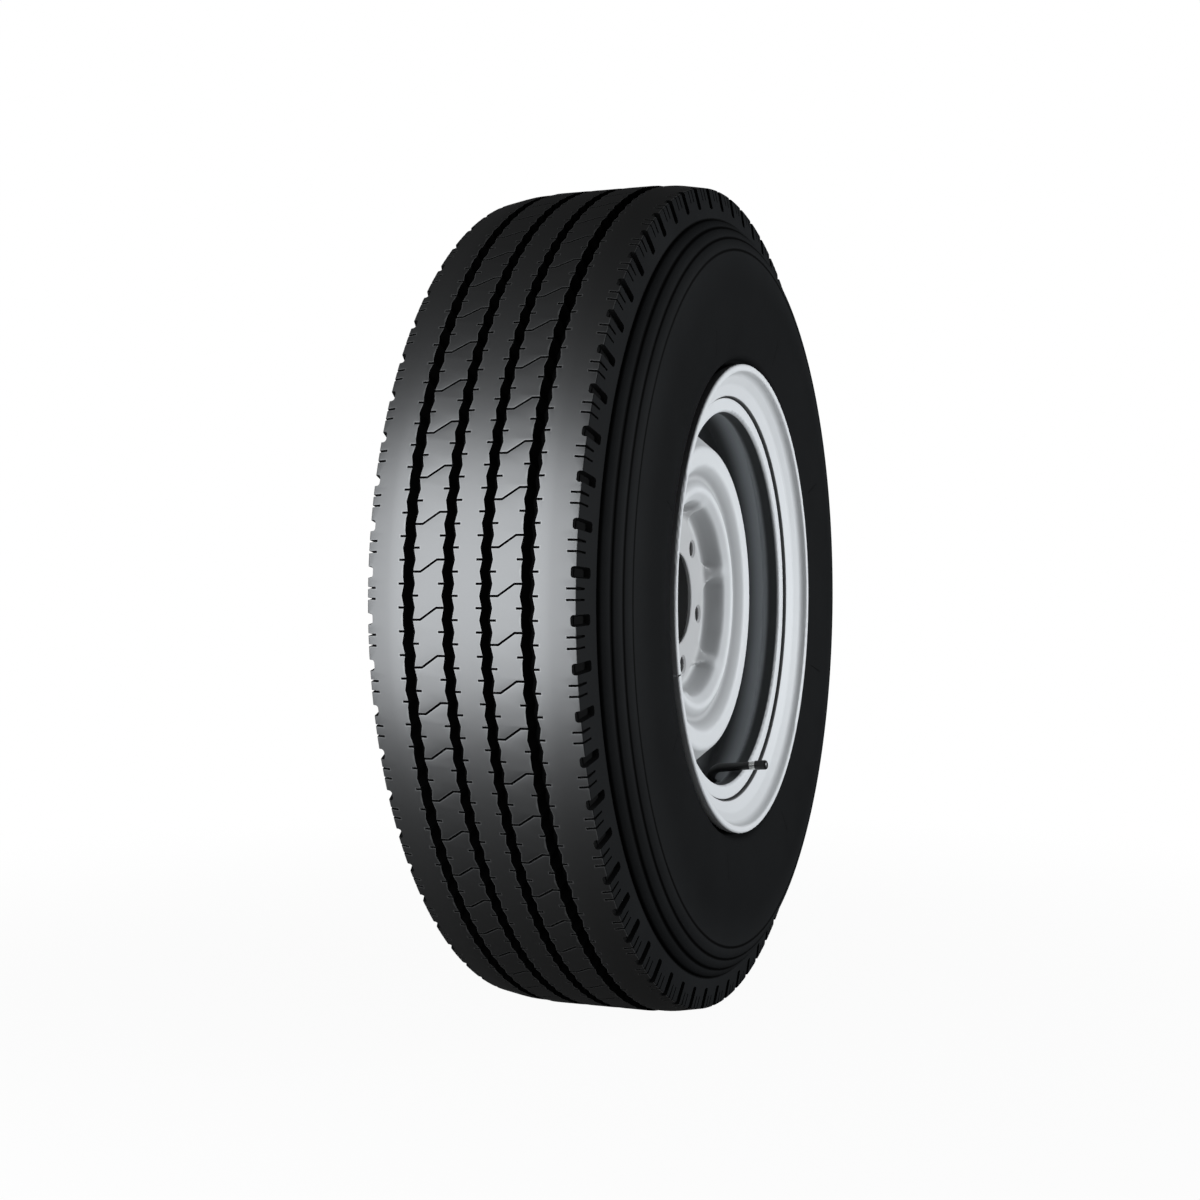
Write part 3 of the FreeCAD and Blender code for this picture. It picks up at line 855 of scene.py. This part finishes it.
def sidewall_outline():
    """Places from the shoulder's foot round the sidewall, the bead and the casing, on the +Y side."""
    creases = ridge_creases()
    ridge_end = creases[-1]
    places = [Vector((wall_foot_radius, wall_foot_along)), creases[0]]
    for start, end in zip(creases, creases[1:]):
        places += bowed(start, end, ridge_bulge, ridge_parts)[1:]
    lower = Vector((lower_wall_radius, lower_wall_along))
    share = (ridge_end.x - widest_radius) / (ridge_end.x - lower_wall_radius)
    rise = Vector((widest_radius, half_section)) - ridge_end.lerp(lower, share)
    places += bowed(ridge_end, lower, rise.length, wall_parts)[1:]
    below = [
        (lower_wall_radius, lower_wall_along, 0),
        (flange_radius + 5.5, half_section - 7.6, 8),
        (flange_radius, bead_face, 15.9),
        (bead_seat_radius + 0.4, bead_face, 6.5),
        (bead_seat_radius - 1.6, bead_toe, 1.5),
        (bead_seat_radius + 13.0, bead_toe + 4.5, 12),
        (lower_wall_radius - 12, half_section - 16.5, 45),
        (widest_radius + 10, half_section - 8.8, 70),
        (casing_radius, half_tread - 5, 34),
        (casing_radius, 0, 0),
    ]
    places += rounded(below[:3], wall_turn_step)[1:]
    return places + rounded(below[1:], hidden_turn_step)[1:]


def depth_at(features, place, run):
    """How deep the tread is cut at a place, by whichever feature of this or a next pitch is deepest."""
    places = (place, place + pitch_length, place - pitch_length)
    return max(feature.depth(near, run) for feature in features for near in places)


def tread_mark(deepest, runs):
    """What a face of the tread is, by its deepest corner and its corners' distances from the middle."""
    on_tread = max(runs) <= edge_run + edge_margin
    if on_tread and deepest < level_margin:
        return "rib_edge" if min(runs) > edge_run - shoulder_highlight_width else "rib_top"
    if on_tread and deepest <= edge_drop + level_margin:
        return "rib_edge"
    return "groove" if deepest > edge_drop else None


def add_tread(shape):
    """One pitch of the tread and the shoulder walls, with its faces marked."""
    features = pitch_features()
    plan, triangles = tread_plan(features)
    marks = {name: shape.faces.layers.float.new(name) for name in tread_marks}
    depths = [depth_at(features, place, run) for place, run in plan]
    points = []
    for (place, run), depth in zip(plan, depths):
        radius, along = sunk_at(run, depth)
        angle = math.radians(notch_place) + place / crown_radius
        points.append(shape.verts.new(on_circle(radius, along, angle)))
    for triangle in triangles:
        face = shape.faces.new([points[corner] for corner in triangle])
        runs = [abs(plan[corner].y) for corner in triangle]
        mark = tread_mark(max(depths[corner] for corner in triangle), runs)
        if mark:
            face[marks[mark]] = 1.0


def add_sidewall(shape, side):
    """One pitch of a sidewall, its bead and its half of the casing."""
    angles = [math.radians(notch_place) + share * pitch_turn for share in pitch_stations()]
    rows = []
    for place in sidewall_outline():
        rows.append([shape.verts.new(on_circle(place.x, side * place.y, angle)) for angle in angles])
    for upper, lower in zip(rows, rows[1:]):
        for index in range(stations_per_pitch):
            shape.faces.new((upper[index], upper[index + 1], lower[index + 1], lower[index]))


def make_tyre(finish):
    """The tyre: one pitch of tread, sidewalls, beads and casing, repeated all round."""
    shape = bmesh.new()
    add_tread(shape)
    for side in (1, -1):
        add_sidewall(shape, side)
    tyre = repeated(mesh_of(shape, "tyre_sector"), "tyre_rubber_body", pitch_count, finish)
    face_outwards(tyre.data)
    smooth(tyre.data, tyre_crisp_angle)
    settle(tyre, "tyre_rubber", "tyre")


# Wheel disc


def disc_lines():
    """The disc's outer face through a rib and through a pocket, from the hub's flat to the skirt's end."""
    hub = (pocket_lip_radius - bore_round, hub_face, 0)
    rib = [hub, (hub_flat_radius, hub_face, hub_flat_round), disc_slope]
    pocket = [
        hub,
        (pocket_lip_radius, hub_face, pocket_lip_round),
        (pocket_lip_radius + pocket_lip_run, pocket_floor, pocket_foot_round),
        (pocket_floor_radius, pocket_floor, pocket_floor_round),
        pocket_wall,
    ]
    outer = [disc_crest, disc_valley, disc_band, disc_edge]
    outer += [(skirt_radius, skirt_top, skirt_round), (skirt_radius, skirt_end, 0)]
    return [rounded(line + outer, disc_turn_step) for line in (rib, pocket)]


rib_line, pocket_line = disc_lines()


def height_on(line, radius):
    """The axial place of a line at a radius, before the line turns into the skirt."""
    for before, after in zip(line, line[1:]):
        if before.x <= radius <= after.x:
            return before.lerp(after, (radius - before.x) / max(after.x - before.x, 1e-9)).y
    return line[0].y


def eased(share):
    """A share that starts and ends gently."""
    share = min(max(share, 0.0), 1.0)
    return share * share * (3 - 2 * share)


def disc_face_at(radius, turn):
    """The axial place of the disc's outer face at a radius and at degrees from the nearest stud."""
    narrow, wide = pocket_half_angles
    spread = eased((radius - pocket_lip_radius) / (pocket_floor_radius - pocket_lip_radius))
    half = narrow + (wide - narrow) * spread
    pocket_share = eased((half - abs(turn)) / pocket_fade + 0.5)
    rib = height_on(rib_line, radius)
    return rib + (height_on(pocket_line, radius) - rib) * pocket_share


def circle(middle, radius, count):
    """Places round a flat circle."""
    turns = [2 * math.pi * index / count for index in range(count)]
    return [middle + Vector((math.cos(turn), math.sin(turn))) * radius for turn in turns]


def hub_plan(turns):
    """The flat hub face of one sector round its stud hole: places with depths, and triangles."""
    stud = Vector((stud_circle_radius, 0.0))
    radii = (hub_bore_radius, hub_bore_radius + bore_round) + hub_seam_radii + (rib_line[0].x,)
    arcs = [[Vector((math.cos(turn), math.sin(turn))) * radius for turn in turns] for radius in radii]
    loops = [circle(stud, radius, stud_sides) for radius in (stud_seat_radius, stud_hole_radius)]
    lines = [arcs[0], arcs[1], arcs[-1]]
    lines += [[arc[end] for arc in arcs] for end in (0, -1)]
    lines += [loop + loop[:1] for loop in loops]
    points = []
    edges = []
    for line in lines:
        edges += [(len(points) + index, len(points) + index + 1) for index in range(len(line) - 1)]
        points += line
    places, _, triangles, _, _, _ = delaunay_2d_cdt(points, edges, [], 0, plan_margin)
    kept = []
    for triangle in triangles:
        middle = sum((places[corner] for corner in triangle), Vector((0.0, 0.0))) / 3
        in_hole = (middle - stud).length <= stud_hole_radius * hole_margin_share
        if middle.length > hub_bore_radius and not in_hole:
            kept.append(triangle)
    depths = []
    for place in places:
        seat = max(stud_seat_radius - (place - stud).length, 0.0)
        bore = max(hub_bore_radius + bore_round - place.length, 0.0)
        depths.append(seat + bore)
    return places, depths, kept


def disc_sector():
    """One sixth of the disc's outer face, with a stud hole and a pocket in its middle."""
    half = 180 / stud_count
    offsets = [half * (2 * index / disc_columns - 1) for index in range(disc_columns + 1)]
    shape = bmesh.new()
    middle = math.radians(stud_angle)
    places, depths, triangles = hub_plan([math.radians(offset) for offset in offsets])
    hub = []
    for place, depth in zip(places, depths):
        angle = middle + math.atan2(place.y, place.x)
        hub.append(shape.verts.new(on_circle(place.length, hub_face + depth, angle)))
    for triangle in triangles:
        shape.faces.new([hub[corner] for corner in triangle])
    first = rib_line[0].x
    last = disc_edge[0]
    count = math.ceil((last - first) / disc_row_height)
    radii = [first + (last - first) * index / count for index in range(count + 1)]
    rows = [[(radius, disc_face_at(radius, offset)) for offset in offsets] for radius in radii]
    rows += [[(place.x, place.y)] * len(offsets) for place in rib_line if place.x > last + row_margin]
    angles = [middle + math.radians(offset) for offset in offsets]
    grid = [[shape.verts.new(on_circle(r, y, a)) for (r, y), a in zip(row, angles)] for row in rows]
    for inner, outer in zip(grid, grid[1:]):
        for index in range(disc_columns):
            shape.faces.new((inner[index], outer[index], outer[index + 1], inner[index + 1]))
    loose = [corner for corner in shape.verts if not corner.link_faces]
    bmesh.ops.delete(shape, geom=loose, context="VERTS")
    return mesh_of(shape, "disc_sector")


def make_disc(finish):
    """The pressed disc: its outer face all round, given the sheet's thickness towards the back."""
    face = repeated(disc_sector(), "disc_face", stud_count, finish)
    sheet = face.modifiers.new("sheet", "SOLIDIFY")
    sheet.thickness = disc_thickness * METRE
    sheet.offset = -1.0
    sheet.use_even_offset = False
    disc = plain_mesh(face, "disc_pressing")
    smooth(disc.data, disc_crisp_angle)
    settle(disc, "wheel_paint", "wheel_disc")


# Valve core spring


def make_spring(finish):
    """The coil spring in the valve's core, which on the real valve shortens as the pin is pressed, as a
    swept wire at its resting length.
    """
    outward = Vector(spring_axis)
    across = outward.orthogonal().normalized()
    upward = outward.cross(across)
    count = spring_turns * spring_steps
    climb = spring_height - 2 * spring_wire_radius
    section = circle(Vector((0.0, 0.0)), spring_wire_radius, spring_sides)
    shape = bmesh.new()
    rings = []
    for index in range(count + 1):
        turn = 2 * math.pi * index / spring_steps
        ray = across * math.cos(turn) + upward * math.sin(turn)
        height = spring_wire_radius + climb * index / count
        middle = Vector(spring_base) + outward * height + ray * spring_coil_radius
        rings.append([shape.verts.new((middle + ray * p.x + outward * p.y) * METRE) for p in section])
    for ring, following in zip(rings, rings[1:]):
        for side in range(spring_sides):
            shape.faces.new((ring[side - 1], ring[side], following[side], following[side - 1]))
    for end in (rings[0], rings[-1]):
        shape.faces.new(end)
    bmesh.ops.recalc_face_normals(shape, faces=shape.faces)
    mesh = mesh_of(shape, "core_spring")
    mesh.materials.append(finish.material)
    smooth(mesh, spring_crisp_angle)
    spring = new_object("core_spring", mesh)
    settle(spring, "spring_steel", "valve_core_spring")
    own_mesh(spring)


# Floor, light and camera


def make_floor():
    """A floor that the camera sees as nearly white, with the object's shadow, and dim in reflections."""
    finish = Finish("floor_white")
    rays = finish.outputs("ShaderNodeLightPath", ray_kinds)
    seen = rays["Is Camera Ray"] + rays["Is Transmission Ray"]
    glossy = rays["Is Glossy Ray"]
    brightness = seen + glossy * reflected_floor
    glow = finish.node("ShaderNodeEmission", inputs={"Color": grey(1.0), "Strength": brightness})
    matt = finish.node("ShaderNodeBsdfDiffuse", inputs={"Color": grey(floor_grey)})
    away = finish.node("ShaderNodeVectorMath", {"operation": "LENGTH"}, {0: finish.place()}, output="Value")
    share = seen * finish.between(away, *floor_fade, floor_near_share, 1.0) + glossy
    both = finish.node("ShaderNodeMixShader", inputs={0: share, 1: matt, 2: glow})
    finish.feed(finish.tree.nodes["Material Output"].inputs["Surface"], both)
    low = cad_box[0][2]
    mesh = bpy.data.meshes.new("floor")
    corners = [(x * floor_half, y * floor_half, low) for x, y in ((-1, -1), (1, -1), (1, 1), (-1, 1))]
    mesh.from_pydata(corners, [], [(0, 1, 2, 3)])
    mesh.materials.append(finish.material)
    floor = new_object("floor", mesh)


def make_surround():
    """A surround that the camera sees as white, dim for reflections and for the light on the object."""
    world = bpy.data.worlds.new("surround")
    bpy.context.scene.world = world
    world.use_nodes = True
    tree = Tree(world.node_tree)
    world.node_tree.nodes.clear()
    rays = tree.outputs("ShaderNodeLightPath", ray_kinds)
    seen = rays["Is Camera Ray"] + rays["Is Transmission Ray"]
    strength = surround_level + seen * (1 - surround_level)
    glow = tree.node("ShaderNodeBackground", inputs={"Color": grey(1.0), "Strength": strength})
    leave = world.node_tree.nodes.new("ShaderNodeOutputWorld")
    tree.feed(leave.inputs["Surface"], glow)


def make_lamp(name, place, aim, size, power):
    """A rectangular soft lamp that looks at a place on the object."""
    lamp = bpy.data.lights.new(name, "AREA")
    lamp.shape = "RECTANGLE"
    lamp.size, lamp.size_y = size
    lamp.energy = power
    lamp.color = lamp_colour
    piece = bpy.data.objects.new(name, lamp)
    piece.visible_camera = False
    bpy.context.scene.collection.objects.link(piece)
    look = Vector(aim) - Vector(place)
    piece.matrix_world = Matrix.Translation(place) @ look.to_track_quat("-Z", "Y").to_matrix().to_4x4()


def make_camera():
    """The camera where the photograph was taken from."""
    azimuth, elevation, roll = (
        math.radians(angle) for angle in (camera_azimuth, camera_elevation, camera_roll)
    )
    back = Vector(
        (
            math.sin(azimuth) * math.cos(elevation),
            -math.cos(azimuth) * math.cos(elevation),
            math.sin(elevation),
        )
    )
    level = Vector((math.cos(azimuth), math.sin(azimuth), 0.0))
    upright = back.cross(level)
    right = level * math.cos(roll) + upright * math.sin(roll)
    up = upright * math.cos(roll) - level * math.sin(roll)
    view = bpy.data.cameras.new("photo_camera")
    view.sensor_width = 36.0
    view.lens = focal_pixels / picture_pixels * view.sensor_width
    view.shift_x = -centre_shift_pixels[0] / picture_pixels
    view.shift_y = centre_shift_pixels[1] / picture_pixels
    view.clip_end = 100.0
    piece = bpy.data.objects.new("photo_camera", view)
    bpy.context.scene.collection.objects.link(piece)
    piece.matrix_world = Matrix((right, up, back)).transposed().to_4x4()
    piece.location = back * camera_distance * METRE
    bpy.context.scene.camera = piece


finishes = {
    "tyre": tyre_finish(),
    "wheel_paint": paint_finish(),
    "rim_paint": rim_finish(),
    "stem_rubber": rubber_finish("stem_rubber", 0.014, 0.42),
    "tube_rubber": rubber_finish("tube_rubber", 0.03, 0.5),
    "flap_rubber": rubber_finish("flap_rubber", 0.04, 0.6),
    "core_seal": rubber_finish("core_seal", 0.06, 0.5),
    "cap_plastic": rubber_finish("cap_plastic", 0.008, 0.32),
    "valve_metal": metal_finish("valve_metal", (0.62, 0.62, 0.60, 1.0), 0.22),
    "core_brass": metal_finish("core_brass", (0.72, 0.56, 0.28, 1.0), 0.3),
    "spring_steel": metal_finish("spring_steel", (0.55, 0.55, 0.56, 1.0), 0.3),
}

node_finishes = {
    "inner_tube": "tube_rubber",
    "rim_flap": "flap_rubber",
    "rim_base": "rim_paint",
    "side_ring": "wheel_paint",
    "valve_stem": "stem_rubber",
    "valve_tip": "valve_metal",
    "valve_core_body": "core_brass",
    "valve_core_gasket": "core_seal",
    "valve_core_pin": "core_brass",
    "valve_core_cup": "core_seal",
    "valve_cap": "cap_plastic",
    "valve_cap_seal": "core_seal",
}


def dress_nodes():
    """Gives each carried-over node its finish."""
    for node, finish in node_finishes.items():
        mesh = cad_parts[node].data
        mesh.materials.clear()
        mesh.materials.append(finishes[finish].material)


bpy.context.scene.view_settings.view_transform = "Standard"
dress_nodes()
make_tyre(finishes["tyre"])
make_disc(finishes["wheel_paint"])
make_spring(finishes["spring_steel"])
make_floor()
make_surround()
make_lamp("tread_lamp", place=(-0.96, 0.25, 0.08), aim=(-0.38, 0.04, 0.08), size=(0.9, 0.93), power=11.5)
make_lamp("wheel_lamp", place=(0.8, -2.4, 0.2), aim=(0.0, -0.1, 0.0), size=(1.0, 1.0), power=99.0)
make_camera()
